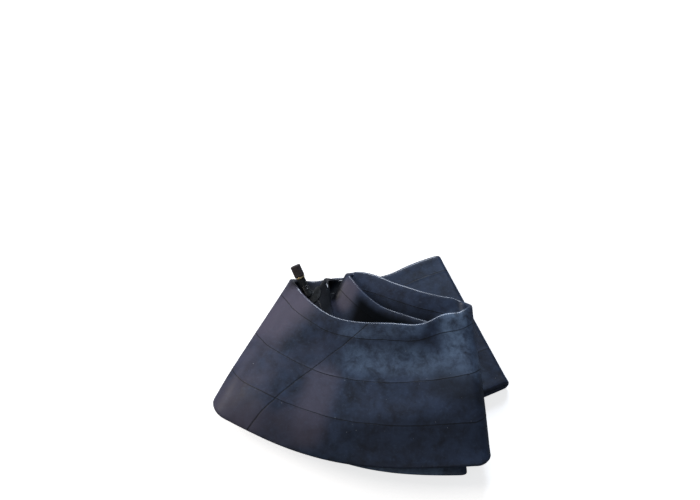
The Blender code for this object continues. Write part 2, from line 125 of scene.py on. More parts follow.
def foldFrame(fold):  # across the fold to the right, along it to the outer edge, and how far it swings out
    right = unit(fold["heading"])
    swing = abs(fold["leaves"] - fold["arrives"]) / 2 * tube["levelPitch"]
    return right, np.array((right[1], -right[0])), swing


def foldSlide(fold, turn):  # how far the tube slides along the fold as it turns round it
    return foldFrame(fold)[2] * turn * math.tan(math.radians(fold["skew"]))


def endTurn(fold, level):
    return math.pi / 2 if level == max(fold["arrives"], fold["leaves"]) else -math.pi / 2


def bezier(points, share):
    share = np.asarray(share)[..., None]
    rest = 1 - share
    a, b, c, d = points
    return rest ** 3 * a + 3 * share * rest ** 2 * b + 3 * share ** 2 * rest * c + share ** 3 * d


def panelCurves(start, end):  # inner and outer edge, seen from above
    inner, outer, innerHandle, outerHandle = [], [], [], []
    for fold in (start, end):
        right, along, swing = foldFrame(fold)
        turn = endTurn(fold, start["leaves"])
        corner = np.array(fold["corner"]) * mm + foldSlide(fold, turn) * along
        slope = fold["heading"] + fold["side"] * math.copysign(fold["skew"], turn * fold["skew"])
        inner.append(corner)
        outer.append(corner + fold["length"] * mm * along)
        innerHandle.append(-fold["side"] * fold["curl"] * mm * unit(slope))
        outerHandle.append(-fold["side"] * right)
    sweep = tube["edgeSweep"] * np.linalg.norm(outer[1] - outer[0])
    return ((inner[0], inner[0] + innerHandle[0], inner[1] + innerHandle[1], inner[1]),
            (outer[0], outer[0] + sweep * outerHandle[0], outer[1] + sweep * outerHandle[1], outer[1]))


def nextFold(number):
    return tube["folds"][(number + 1) % len(tube["folds"])]


def panelOutline(start, end):
    innerCurve, outerCurve = panelCurves(start, end)
    shares = np.linspace(0, 1, 13)
    tips = []
    for fold in (end, start):
        right, along, swing = foldFrame(fold)
        tip = np.array(fold["corner"]) * mm + fold["side"] * swing * right
        tips.append((tip, tip + fold["length"] * mm * along))
    return np.vstack([bezier(innerCurve, shares), tips[0], bezier(outerCurve, shares[::-1]), tips[1][::-1]])


outlines = {fold["leaves"]: panelOutline(fold, nextFold(n)) for n, fold in enumerate(tube["folds"])}


def distanceOutside(points, outline):  # 0 inside the outline
    following = np.roll(outline, -1, axis=0)
    edge = following - outline
    offset = points[:, None, :] - outline
    share = np.clip((offset * edge).sum(-1) / (edge ** 2).sum(-1), 0, 1)
    gap = np.linalg.norm(offset - share[..., None] * edge, axis=-1).min(axis=1)
    x, y = points[:, 0, None], points[:, 1, None]
    straddles = (outline[:, 1] > y) != (following[:, 1] > y)
    rise = np.where(edge[:, 1] == 0, 1, edge[:, 1])
    crossing = outline[:, 0] + (y - outline[:, 1]) / rise * edge[:, 0]
    inside = (straddles & (x < crossing)).sum(axis=1) % 2 == 1
    return np.where(inside, 0, gap)


def panelHeight(points, level):  # each panel below lifts this one, less and less past its own edge
    flat = points.reshape(-1, 2)
    height = np.full(len(flat), tube["half"])
    for below in range(1, level):
        height += tube["levelPitch"] * smooth(1 - distanceOutside(flat, outlines[below]) / tube["drapeReach"])
    return height.reshape(points.shape[:-1])


def foldMiddle(fold, shares, turns):  # the ribbon's middle surface round a fold: turns x shares
    right, along, swing = foldFrame(fold)
    distance = np.asarray(shares) * fold["length"] * mm
    line = np.array(fold["corner"]) * mm + distance[:, None] * along
    quarter = foldSlide(fold, math.pi / 2)
    top = panelHeight(line + quarter * along, max(fold["arrives"], fold["leaves"]))
    bottom = panelHeight(line - quarter * along, min(fold["arrives"], fold["leaves"]))
    turns = np.asarray(turns)[:, None]
    eased = quarter * np.sin(turns)
    slide = foldSlide(fold, 1.0) * turns * (1 - shares) + eased * shares
    place = line + slide[..., None] * along + fold["side"] * swing * np.cos(turns)[..., None] * right
    height = (top + bottom) / 2 + (top - bottom) / 2 * np.sin(turns)
    return np.dstack([place, height])


def panelMiddle(start, end, shares, places):
    innerCurve, outerCurve = panelCurves(start, end)
    inner, outer = bezier(innerCurve, places)[:, None], bezier(outerCurve, places)[:, None]
    spot = inner + np.asarray(shares)[None, :, None] * (outer - inner)
    return np.dstack([spot, panelHeight(spot, start["leaves"])])


def ribbonMiddle(shares):
    rows = []
    for number, fold in enumerate(tube["folds"]):
        start = endTurn(fold, fold["arrives"])
        rows.append(foldMiddle(fold, shares, np.linspace(start, -start, tube["wrapSteps"] + 1)))
        places = np.linspace(0, 1, tube["panelSteps"] + 1)[1:-1]
        rows.append(panelMiddle(fold, nextFold(number), shares, places))
    return np.vstack(rows)


freeRim = {  # how the loose inner edge wanders and stands up
    "reach": 0.3,                 # share of the width that goes with it
    "lean": 0.53,                 # how far it comes forward as it stands up
    "soften": 3,                  # stations
    # panels in order round the ring: place along the panel, then right, forward and up in mm
    "panels": (
        ((0, 0, 0, 5), (0.08, 0, -4, 6), (0.18, 0, -8, 7), (0.27, 0, 1, 8), (0.33, 0, 0, 8), (0.46, 0, -4, 8),
         (0.6, 0, -2, 7), (0.75, 0, 0, 5), (0.95, 3, -2, 2)),
        ((0, 0, -3, 0), (0.1, 0, -8, 0), (0.3, 0, -8, 0), (0.55, 0, -4, 0), (0.9, 0, 0, 0)),
        ((0.1, 0, 0, 0), (0.4, 0, 0, 1), (0.65, 0, -1, 1), (1, 0, 0, 0)),
        ((0, 0, 0, 0), (0.1, -7, 2, 0), (0.22, -13, 6, 0), (0.4, -12, 6, 0), (0.6, -5, 3, 1), (0.8, 0, 0, 1),
         (1, 0, 0, 2)),
        ((0, 0, 0, 2), (0.4, 0, 0, 5), (0.6, -1, 2, 7), (0.85, -1, 1, 9), (1, -1, 0, 9)),
        ((0, 0, -4, 3), (0.12, 0, -2, 4), (0.35, 0, 5, 6), (0.6, 0, 6, 7), (0.8, 0, 3, 6), (1, 0, -3, 5)),
    ),
    "openFold": (5, -1, 0, 6),    # the last fold's loop stands open: its number, right, forward and up
}


def rimWander():  # right, forward and up for every station round the ring
    panel, wrap = tube["panelSteps"] - 1, tube["wrapSteps"] + 1
    stations, moves = [], []
    for number, knots in enumerate(freeRim["panels"]):
        first = number * (panel + wrap) + wrap
        for place, *move in knots:
            stations.append(first - 0.5 + place * panel)
            moves.append(move)
    number, *move = freeRim["openFold"]
    stations.append(number * (panel + wrap) + wrap / 2)
    moves.append(move)
    order = np.argsort(stations)
    count = len(freeRim["panels"]) * (panel + wrap)
    known, values = np.array(stations)[order], np.array(moves, float)[order]
    return np.stack([np.interp(np.arange(count), known, column, period=count) for column in values.T], axis=1)


def softened(values, width):  # a moving average round the ring
    for _ in range(3):
        values = sum(np.roll(values, offset, axis=0) for offset in range(-width, width + 1)) / (2 * width + 1)
    return values


def withFreeRim(middle, shares):
    right, forward, up = softened(rimWander(), freeRim["soften"]).T * mm
    move = np.stack([right, -forward - freeRim["lean"] * up, up], axis=1)
    return middle + move[:, None, :] * smooth(1 - shares / freeRim["reach"])[None, :, None]


tubeSection = {
    "width": 143 * mm,            # laid flat, edge to edge
    "beadRise": 0.35 * mm,        # the bent edge stays a little fatter than the two walls
    "beadReach": 11 * mm,
    "mouldLines": (0.126, 0.44, 0.74),
    "lineHeight": 0.1 * mm,
    "lineReach": 0.9 * mm,
    "edgeSteps": 6,
    "flatSteps": 30,
}


def sectionSide():  # distances across the tube, from the inner edge to the outer one, on one wall
    s = tubeSection
    bend = tube["half"] * (1 - np.cos(np.linspace(0, math.pi / 2, s["edgeSteps"])))
    flat = np.linspace(bend[-1], s["width"] - bend[-1], s["flatSteps"])
    beads = np.linspace(bend[-1], s["beadReach"], 5)
    lines = [place * s["width"] + s["lineReach"] * np.linspace(-1, 1, 5) for place in s["mouldLines"]]
    both = np.concatenate([bend, s["width"] - bend, flat, beads, s["width"] - beads, *lines])
    return np.unique(np.round(both, 5))


def sectionLift(across):  # height over the middle surface, and the moulded lines on top of it
    s = tubeSection
    inFrom = np.minimum(across, s["width"] - across)
    roundness = np.sqrt(1 - np.clip(1 - inFrom / tube["half"], 0, 1) ** 2)
    rise = s["beadRise"] * smooth(1 - inFrom / s["beadReach"])
    away = [(across - place * s["width"]) / s["lineReach"] for place in s["mouldLines"]]
    lines = sum(np.clip(1 - distance ** 2, 0, 1) for distance in away)
    return (tube["half"] + rise) * roundness, s["lineHeight"] * lines


def joint(name):
    return next(j for j in frame["joints"] if j["name"] == name)


valveFoot = Vector(joint("cap_turn")["pos_m"])
valveAxis = Vector(joint("cap_turn")["axis"]).normalized()
valveFrame = Matrix.Translation(valveFoot) @ valveAxis.to_track_quat("Z", "Y").to_matrix().to_4x4()


dents = {
    "size": 75 * mm,              # from one soft swell of the draped stack to the next
    "height": 1.3 * mm,           # on the top panel
    "fineSize": 24 * mm,
    "fineHeight": 0.35 * mm,
    "stackHeight": 40 * mm,
    "stillRadius": 26 * mm,       # round the valve's foot nothing moves
    "fadeRadius": 60 * mm,
    "lineFade": 8 * mm,           # past the still part the moulded lines come back
}


def dented(points):  # the whole stack swells and sinks together, more towards its top
    d = dents
    fromValve = np.linalg.norm(points - np.array(valveFoot), axis=1)
    share = smooth((fromValve - d["stillRadius"]) / (d["fadeRadius"] - d["stillRadius"]))
    share = share * np.clip(points[:, 2] / d["stackHeight"], 0, 1)
    swell = np.array([noise.noise(Vector((x, y, 0)) / d["size"]) for x, y, z in points])
    ripple = np.array([noise.noise(Vector((x, y, 5 * z)) / d["fineSize"]) for x, y, z in points])
    points[:, 2] += share * (d["height"] * swell + d["fineHeight"] * ripple)
    return points


def ontoFrame(points):  # the folds have their own origin; the frame's is the centre of the base
    low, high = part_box("tube_body")
    spots = points.reshape(-1, 3)
    middle = (spots.min(0) + spots.max(0)) / 2
    return np.array([(low.x + high.x) / 2 - middle[0], (low.y + high.y) / 2 - middle[1], 0])


def ribbonNormal(middle):
    alongRing = np.roll(middle, -1, axis=0) - np.roll(middle, 1, axis=0)
    normal = np.cross(alongRing, np.gradient(middle, axis=1))
    return normal / np.linalg.norm(normal, axis=2)[..., None]


def buildTube():
    across = sectionSide()
    shares = across / tubeSection["width"]
    lift, lines = sectionLift(across)
    middle = ribbonMiddle(shares)
    offset = ribbonNormal(middle) * lift[:, None]
    toFrame = ontoFrame(np.concatenate([middle + offset, middle - offset]))
    step = np.linalg.norm(np.roll(middle, -1, axis=0) - middle, axis=2)[:, len(across) // 2]
    ringLength = np.concatenate([[0], np.cumsum(step)])
    girth = np.concatenate([across, 2 * tubeSection["width"] - across[-2::-1]])

    middle = withFreeRim(middle + toFrame, shares)
    fromValve = np.linalg.norm(middle - np.array(valveFoot), axis=2)
    clear = smooth((fromValve - dents["stillRadius"]) / dents["lineFade"])    # no moulded lines under the pad
    offset = ribbonNormal(middle) * (lift + lines * clear)[..., None]
    section = np.concatenate([middle + offset, (middle - offset)[:, -2:0:-1]], axis=1)

    bm = bmesh.new()
    stations, points = section.shape[:2]
    bmesh.ops.create_grid(bm, x_segments=stations, y_segments=points, size=1)
    spots = [(round((v.co.x + 1) / 2 * stations), round((v.co.y + 1) / 2 * points)) for v in bm.verts]
    placed = dented(np.array([section[i % stations, j % points] for i, j in spots]))
    uvLayer = bm.loops.layers.uv.new("ring")    # metres round the ring and round the section
    for face in bm.faces:
        for loop in face.loops:
            i, j = spots[loop.vert.index]
            loop[uvLayer].uv = (ringLength[i], girth[j])
    for vert, place in zip(bm.verts, placed):
        vert.co = place
    valvePlace = float(ringLength[np.argmin(fromValve.min(axis=1))])
    piece = finishPiece(bm, "tube", rubberMaterial(ringLength, valvePlace), "tube")
    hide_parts("tube_body")
    print("tube:", len(piece.data.polygons), "faces, ring", round(ringLength[-1], 3), "m, moved",
          [round(value / mm, 3) for value in toFrame])


def objectPlace(tree):
    return addNode(tree, "ShaderNodeTexCoord").outputs["Object"]


def noiseAt(tree, place, size, detail=4, roughness=0.55, distortion=0.0):  # size in mm, from patch to patch
    inputs = {"Vector": place, "Scale": 1 / (size * mm), "Detail": detail, "Roughness": roughness,
              "Distortion": distortion}
    return addNode(tree, "ShaderNodeTexNoise", {"noise_dimensions": "3D"}, inputs).outputs["Fac"]


def mathNode(tree, operation, *values, clamp=False):
    return addNode(tree, "ShaderNodeMath", {"operation": operation, "use_clamp": clamp},
                   dict(enumerate(values))).outputs[0]


def scaled(tree, value, factor):
    return mathNode(tree, "MULTIPLY", value, factor)


def inverse(tree, value):
    return mathNode(tree, "SUBTRACT", 1.0, value)


def largest(tree, values):
    whole = values[0]
    for value in values[1:]:
        whole = mathNode(tree, "MAXIMUM", whole, value)
    return whole


def awayFrom(tree, value, place):
    return mathNode(tree, "ABSOLUTE", mathNode(tree, "SUBTRACT", value, place))


def spread(tree, value, low, high, start=0.0, end=1.0):  # start at low, end at high, smooth between
    inputs = {"Value": value, "From Min": low, "From Max": high, "To Min": start, "To Max": end}
    return addNode(tree, "ShaderNodeMapRange", {"interpolation_type": "SMOOTHSTEP"}, inputs).outputs["Result"]


def mixColours(tree, factor, first, second):
    settings = {"data_type": "RGBA", "clamp_factor": True}
    return addNode(tree, "ShaderNodeMix", settings, {0: factor, 6: first, 7: second}).outputs[2]


def addBump(tree, shader, heights):  # heights: (height socket, real depth in mm, strength)
    normal = None
    for height, depth, strength in heights:
        inputs = {"Height": height, "Distance": depth * mm, "Strength": strength}
        if normal:
            inputs["Normal"] = normal
        normal = addNode(tree, "ShaderNodeBump", None, inputs).outputs["Normal"]
    tree.links.new(normal, shader.inputs["Normal"])


rubber = {
    "dark": "#131a26",
    "blue": "#2f3e57",
    "brown": "#585464",
    # the bright tone carries the painted sheen, the painted light strip and the speckles of bloom
    "bright": "#62768f",
    "bareRubberAndShade": "#06090c",           # rubber without bloom, and the painted shade
    "mark": "#07090d",            # moulded lines and splices
    "dust": "#9aa0a6",
    "cloud": 62,                  # sizes in mm, from wide clouds of bloom down to the moulded grain
    "mottle": 21,
    "smear": 9,
    "speckle": 2.6,
    "dustGap": 1.7,
    "grain": 0.8,
    "bloomSpread": (0.3, 0.68),   # of the mottled pattern, from bare to full bloom
    "dustSpread": (0.815, 0.845),
    "roughness": (0.4, 0.6),      # from bare to full bloom
    "wipedRoughness": -0.18,
    "rubbedRoughness": -0.2,
    "sheen": 0.3,
    "rubbedSheen": 0.25,
    # less sheen in the painted shade of the wells
    "wellShadeSheen": -0.24,
    "lineHalf": (0.1, 0.8),       # mm from the line's middle, from full to none
    "spliceHalf": (0.2, 1.0),
    "brownReach": (-100, -10),    # mm across the object, brown clouds on the left and few on the right, partly painted light from the left
    "rubbed": (1.5, 5),           # mm from the inner edge, which handling keeps smooth
    "wiped": (30, 62),            # mm either side of the valve, where the rubber was cleaned
    "zoneFade": 8,                # mm
}


bloomAndPaintedLightPatches = {  # round-ended strips seen from above: start, end and radius in mm, strength; painted light and shade, the brown ones also a bloom tone
    "brown": (
        # partly painted light: lighter brown where light from the left falls, on the left edge, a swell and
        # the ear; partly a brown bloom tone
        ((-62, 52), (-84, 30), 19, 0.95),
        ((-126, -58), (-114, -70), 16, 0.5),
        ((-36, -30), (-50, -76), 14, 0.6),
        ((-12, 66), (-18, 54), 9, 0.9),
    ),
    "bright": (
        # painted sheen: soft highlights on the top panel
        ((-6, -12), (100, -14), 14, 0.6),
        ((86, 30), (88, 0), 14, 1.0),
        ((-12, 14), (50, 18), 8, 0.4),
    ),
    "bareAndShade": (
        # painted shade: darker towards the bottom and the right, and in the gaps near the valve and the ear
        ((0, -80), (100, -78), 14, 0.3),
        ((75, -34), (104, -44), 13, 0.5),
        ((-56, 76), (-36, 70), 11, 0.85),
        ((-20, 84), (-26, 60), 5, 0.9),
    ),
}

paintedLightZones = {  # panel, from and to as shares of its length, from and to in mm off the inner edge, strength
    "paintedLightStrip": ((3, 0.0, 1.0, 118, 134, 0.75),),    # painted light: the strip that shows below the top panel, made lighter where the top panel shades it
    "paintedWellShade": (                   # painted shade behind a raised edge, in the well under it
        (4, 0.0, 0.86, 1, 12, 0.97),
        (5, 0.0, 0.8, 10, 34, 0.7),
        (1, 0.0, 0.5, 2, 20, 0.5),
    ),
}

splices = (  # metres round the ring at the inner edge, slope over the wall, change of slope per metre
    (0.146, 0.76, -1.8),
    (1.179, -1.13, 0.0),
)


def moulded(tree, side, place):  # 1 on the moulded lines, which wander a little
    wander = mathNode(tree, "MULTIPLY_ADD", noiseAt(tree, place, 30, 2), 2.4 * mm, -1.2 * mm)
    across = mathNode(tree, "ADD", side, wander)
    full, none = rubber["lineHalf"]
    return largest(tree, [inverse(tree, spread(tree, awayFrom(tree, across, share * tubeSection["width"]),
                                               full * mm, none * mm)) for share in tubeSection["mouldLines"]])


def spliced(tree, around, side, place):  # 1 along the splices, which run aslant over the wall
    full, none = rubber["spliceHalf"]
    masks = []
    for start, slope, bend in splices:
        wander = mathNode(tree, "MULTIPLY_ADD", noiseAt(tree, place, 14, 3), 2.0 * mm, start - 1.0 * mm)
        line = mathNode(tree, "MULTIPLY_ADD", side, mathNode(tree, "MULTIPLY_ADD", side, bend, slope), wander)
        masks.append(inverse(tree, spread(tree, awayFrom(tree, around, line), full * mm, none * mm)))
    return largest(tree, masks)


def strip(tree, place, start, end, radius):  # 1 inside a round-ended strip, with a soft border
    first = Vector((*start, 0)) * mm
    line = Vector((*end, 0)) * mm - first
    flat = addNode(tree, "ShaderNodeVectorMath", {"operation": "MULTIPLY"}, {0: place, 1: (1, 1, 0)})
    offset = addNode(tree, "ShaderNodeVectorMath", {"operation": "SUBTRACT"}, {0: flat.outputs[0], 1: first})
    reached = addNode(tree, "ShaderNodeVectorMath", {"operation": "DOT_PRODUCT"},
                      {0: offset.outputs[0], 1: line / line.length_squared})
    share = mathNode(tree, "ADD", reached.outputs["Value"], 0.0, clamp=True)
    foot = addNode(tree, "ShaderNodeVectorMath", {"operation": "SCALE"}, {0: line, "Scale": share})
    away = addNode(tree, "ShaderNodeVectorMath", {"operation": "DISTANCE"},
                   {0: offset.outputs[0], 1: foot.outputs[0]})
    return inverse(tree, spread(tree, away.outputs["Value"], 0.4 * radius * mm, 1.6 * radius * mm))


def patches(tree, place, kind):
    return largest(tree, [scaled(tree, strip(tree, place, start, end, radius), strength)
                          for start, end, radius, strength in bloomAndPaintedLightPatches[kind]])


def panelPlace(ringLength, panel, share):  # how far round the ring that is
    wrap, stretch = tube["wrapSteps"] + 1, tube["panelSteps"] - 1
    return float(ringLength[round(panel * (wrap + stretch) + wrap + share * (stretch - 1))])


def zones(tree, around, side, ringLength, kind):
    fade = rubber["zoneFade"] * mm
    masks = []
    for panel, start, end, near, far, strength in paintedLightZones[kind]:
        first, last = panelPlace(ringLength, panel, start), panelPlace(ringLength, panel, end)
        begun = spread(tree, around, first - fade, first + fade)
        going = inverse(tree, spread(tree, around, last - fade, last + fade))
        across = spread(tree, side, near * mm, far * mm)
        masks.append(scaled(tree, scaled(tree, scaled(tree, begun, going), strength), across))
    return largest(tree, masks)


def brownClouds(tree, place):  # brownish clouds that thin out towards the right, partly a bloom tone and partly painted light falling from the left
    cloud = spread(tree, noiseAt(tree, place, rubber["cloud"], 3, 0.5, 0.4), 0.3, 0.6)
    across = addNode(tree, "ShaderNodeSeparateXYZ", None, {"Vector": place}).outputs["X"]
    low, high = rubber["brownReach"]
    return scaled(tree, scaled(tree, cloud, spread(tree, across, low * mm, high * mm, 1.0, 0.12)), 0.6)


def rubberMaterial(ringLength, valvePlace):
    # satin black butyl under a dusty bloom, which looks blue-grey in places and brownish in others; painted
    # light and shade lie over it: painted sheen patches, lighter brown where light from the left falls, and
    # painted shade in the wells and towards the bottom and right
    material, tree, shader = newMaterial("moulded butyl rubber with bloom")
    place = objectPlace(tree)
    ring = addNode(tree, "ShaderNodeUVMap", {"uv_map": "ring"}).outputs["UV"]
    around, girth = addNode(tree, "ShaderNodeSeparateXYZ", None, {"Vector": ring}).outputs[:2]
    side = mathNode(tree, "PINGPONG", girth, tubeSection["width"])
    mottle = noiseAt(tree, place, rubber["mottle"], 6, 0.62, 0.5)
    smear = noiseAt(tree, place, rubber["smear"], 5, 0.65, 0.3)
    speckle = noiseAt(tree, place, rubber["speckle"], 4, 0.65)
    grain = noiseAt(tree, place, rubber["grain"], 2, 0.6)
    dust = noiseAt(tree, place, rubber["dustGap"], 1, 0.3)
    ragged = mathNode(tree, "MULTIPLY_ADD", smear, 0.6, 0.7)
    lines = moulded(tree, side, place)
    seams = spliced(tree, around, side, place)
    # painted shade: the wells behind the raised edges made darker
    paintedWellShade = zones(tree, around, side, ringLength, "paintedWellShade")
    fromValve = awayFrom(tree, around, valvePlace)
    wiped = inverse(tree, spread(tree, fromValve, *(reach * mm for reach in rubber["wiped"])))
    rubbed = inverse(tree, spread(tree, side, *(reach * mm for reach in rubber["rubbed"])))

    bloom = mathNode(tree, "MULTIPLY_ADD", smear, 0.45, scaled(tree, mottle, 0.55))
    # painted sheen and painted light, with real speckles of bloom
    paintedSheenAndSpeckle = largest(tree, [patches(tree, place, "bright"), zones(tree, around, side, ringLength, "paintedLightStrip")])
    paintedSheenAndSpeckle = mathNode(tree, "MULTIPLY_ADD", paintedSheenAndSpeckle, spread(tree, smear, 0.2, 0.75),
                       scaled(tree, spread(tree, speckle, 0.5, 0.78), 0.16))
    # painted shade patches, then the real wiped rubber by the valve and the painted shade of the wells
    bareAndShade = scaled(tree, patches(tree, place, "bareAndShade"), ragged)
    bareAndShade = largest(tree, [scaled(tree, wiped, 0.9), paintedWellShade, bareAndShade])
    layers = (  # each lies over the one before
        (spread(tree, bloom, *rubber["bloomSpread"]), "blue"),
        (brownClouds(tree, place), "brown"),
        (scaled(tree, patches(tree, place, "brown"), ragged), "brown"),
        (paintedSheenAndSpeckle, "bright"),
        (bareAndShade, "bareRubberAndShade"),
        (scaled(tree, spread(tree, dust, *rubber["dustSpread"]), 0.7), "dust"),
        (largest(tree, [scaled(tree, lines, 0.75), scaled(tree, seams, 0.7)]), "mark"),
    )
    colour = linear(rubber["dark"])
    for amount, name in layers:
        colour = mixColours(tree, amount, colour, linear(rubber[name]))
    tree.links.new(colour, shader.inputs["Base Color"])

    low, high = rubber["roughness"]
    rough = mathNode(tree, "MULTIPLY_ADD", bloom, high - low, low)
    rough = mathNode(tree, "MULTIPLY_ADD", wiped, rubber["wipedRoughness"], rough)
    rough = mathNode(tree, "MULTIPLY_ADD", rubbed, rubber["rubbedRoughness"], rough)
    tree.links.new(rough, shader.inputs["Roughness"])
    sheen = mathNode(tree, "MULTIPLY_ADD", rubbed, rubber["rubbedSheen"], rubber["sheen"])
    sheen = mathNode(tree, "MULTIPLY_ADD", paintedWellShade, rubber["wellShadeSheen"], sheen)
    tree.links.new(sheen, shader.inputs["Specular IOR Level"])
    addBump(tree, shader, ((mottle, 0.6, 0.25), (smear, 0.3, 0.2), (speckle, 0.2, 0.2), (grain, 0.05, 0.25),
                           (lines, -0.25, 0.4), (seams, -0.3, 0.5)))
    return material


plainFinishes = {
    # colour, second colour, roughness, metallic, patch size in mm, bump depth in mm
    # near black with a soft gloss, from a polished mould
    "moulded valve rubber": ("#0a0d0f", "#181d20", 0.36, 0, 2.2, 0.05),
    # near black and a little glossier, where the mould pressed it on to the tube
    "vulcanised pad rubber": ("#090c0e", "#14181a", 0.34, 0, 3.0, 0.06),
    # pale yellow with a blurred shine
    "turned brass, dulled": ("#c8b078", "#efe2bc", 0.4, 1, 1.5, 0.02),
    # light grey with a fairly clear shine
    "drawn stainless steel": ("#8f9296", "#b5b7ba", 0.3, 1, 0.8, 0.01),
    # off-white and waxy
    "moulded PTFE seal": ("#c9c9c2", "#e2e2dc", 0.42, 0, 1.0, 0.01),
    # matt black
    "moulded gasket rubber": ("#101214", "#22262a", 0.5, 0, 0.9, 0.02),
    # a brownish black with a faint, even sheen
    "moulded black polypropylene": ("#2a2526", "#3d3637", 0.5, 0, 1.6, 0.03),
    # dull brick red
    "red nitrile rubber": ("#7a1f18", "#93342a", 0.5, 0, 1.2, 0.02),
}


def plainMaterial(name):  # two close shades in patches, a little wear in the gloss and a fine grain
    first, second, roughness, metallic, size, depth = plainFinishes[name]
    material, tree, shader = newMaterial(name)
    place = objectPlace(tree)
    patch = noiseAt(tree, place, size, 5, 0.6)
    grain = noiseAt(tree, place, size / 6, 2, 0.6)
    colour = mixColours(tree, spread(tree, patch, 0.35, 0.65), linear(first), linear(second))
    tree.links.new(colour, shader.inputs["Base Color"])
    rough = mathNode(tree, "MULTIPLY_ADD", patch, 0.24, roughness - 0.12)
    tree.links.new(rough, shader.inputs["Roughness"])
    shader.inputs["Metallic"].default_value = metallic
    addBump(tree, shader, ((patch, depth, 0.3), (grain, depth / 2, 0.3)))
    return material


materials = {name: plainMaterial(name) for name in plainFinishes}
buildTube()


def spun(profile, steps, closed):  # turns (radius, height) points in mm about Z
    bm = bmesh.new()
    points = [bm.verts.new((radius * mm, 0, height * mm)) for radius, height in profile]
    pairs = list(zip(points, points[1:])) + ([(points[-1], points[0])] if closed else [])
    edges = [bm.edges.new(pair) for pair in pairs]
    bmesh.ops.spin(bm, geom=points + edges, cent=(0, 0, 0), axis=(0, 0, 1), angle=2 * math.pi, steps=steps,
                   use_merge=True)
    bmesh.ops.remove_doubles(bm, verts=bm.verts, dist=weld)
    return bm


def filleted(points, radii, steps=4):  # a profile whose corners are rounded by these radii, in mm
    rounded = []
    count = len(points)
    for index, (corner, radius) in enumerate(zip(points, radii)):
        corner = Vector(corner)
        if not radius:
            rounded.append(tuple(corner))
            continue
        before = (Vector(points[index - 1]) - corner).normalized()
        after = (Vector(points[(index + 1) % count]) - corner).normalized()
        start, end = corner + before * radius, corner + after * radius
        for number in range(steps + 1):
            share = number / steps
            rounded.append(tuple(start.lerp(corner, share).lerp(corner.lerp(end, share), share)))
    return rounded


def groove(vert, depth):  # moves a point in towards the valve's axis, by mm
    share = 1 - depth * mm / math.hypot(vert.co.x, vert.co.y)
    vert.co.x *= share
    vert.co.y *= share


def onWall(vert, radius, low, high):  # on an upright wall of that radius, between two heights, all in mm
    near = 0.01
    isOnWall = abs(math.hypot(vert.co.x, vert.co.y) / mm - radius) <= near
    return isOnWall and low - near <= vert.co.z / mm <= high + near


cover = {  # sizes in mm, heights from the valve's foot
    "steps": 72,
    "topRadius": 3.9,
    "top": 20.2,
    "neckRadius": 4.2,
    "neckStart": 8.0,
    "footRadius": 6.2,
    "footTop": 3.2,
    "footBottom": -1.5,           # cut away to sit on the pad
    "bore": 3.2,
    "grooves": (9.4, 10.8, 12.2),
    "grooveDepth": 0.35,
    "grooveHalf": 0.35,
    "grooveFillet": 0.12,
    "topFillet": 0.5,
    "neckFillet": 1.6,
    "footFillet": 0.8,
    "padGap": 0.25,
    "probe": 12,                  # well above the pad, where the search for its surface starts
}


def coverProfile():
    c = cover
    outside = [(c["topRadius"], c["top"])]
    for height in sorted(c["grooves"], reverse=True):
        share = (height - c["neckStart"]) / (c["top"] - c["neckStart"])
        radius = c["neckRadius"] + (c["topRadius"] - c["neckRadius"]) * share
        half = c["grooveHalf"]
        outside += [(radius, height + half), (radius - c["grooveDepth"], height), (radius, height - half)]
    outside += [(c["neckRadius"], c["neckStart"]), (c["footRadius"], c["footTop"])]
    cutOff = [(c["footRadius"], c["footBottom"]), (c["bore"], c["footBottom"]), (c["bore"], c["top"])]
    grooves = [c["grooveFillet"]] * (3 * len(c["grooves"]))
    radii = [c["topFillet"], *grooves, c["neckFillet"], c["footFillet"], *(0 for corner in cutOff)]
    return filleted(outside + cutOff, radii)


def seatOnPad(bm):  # the foot follows the pad under it, a hair above
    pad = BVHTree.FromObject(frame["nodes"]["valve_patch"], bpy.context.evaluated_depsgraph_get())
    for vert in bm.verts:
        if vert.co.z > (cover["footBottom"] + 0.01) * mm:
            continue
        above = valveFrame @ Vector((vert.co.x, vert.co.y, cover["probe"] * mm))
        hit = pad.ray_cast(above, -valveAxis)[0]
        vert.co.z = (valveFrame.inverted() @ hit).z + cover["padGap"] * mm


def buildCover():
    bm = spun(coverProfile(), cover["steps"], closed=True)
    seatOnPad(bm)
    bmesh.ops.transform(bm, matrix=valveFrame, verts=bm.verts)
    piece = finishPiece(bm, "valveCover", materials["moulded valve rubber"], "tube")
    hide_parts("valve_stem_rubber")
    print("valve cover:", len(piece.data.polygons), "faces")


insert = {  # sizes in mm, heights from the valve's foot
    "steps": 64,
    "start": 4.2,
    "radius": 2.9,
    "collarStart": 20.5,
    "collarRadius": 4.5,
    "collarLength": 1.6,
    "threadRadius": 3.85,
    "threadDepth": 0.42,
    "threadPitch": 0.794,
    "threadRows": 8,              # rings of points to each turn
    "runOut": 1.0,                # over which the thread fades in above the collar
    "chamfer": 0.25,
    "mouth": 31.3,
    "lowerBore": 2.05,
    "upperBore": 2.65,
    "boreStep": 22.8,
    "boreTaper": 0.6,
}


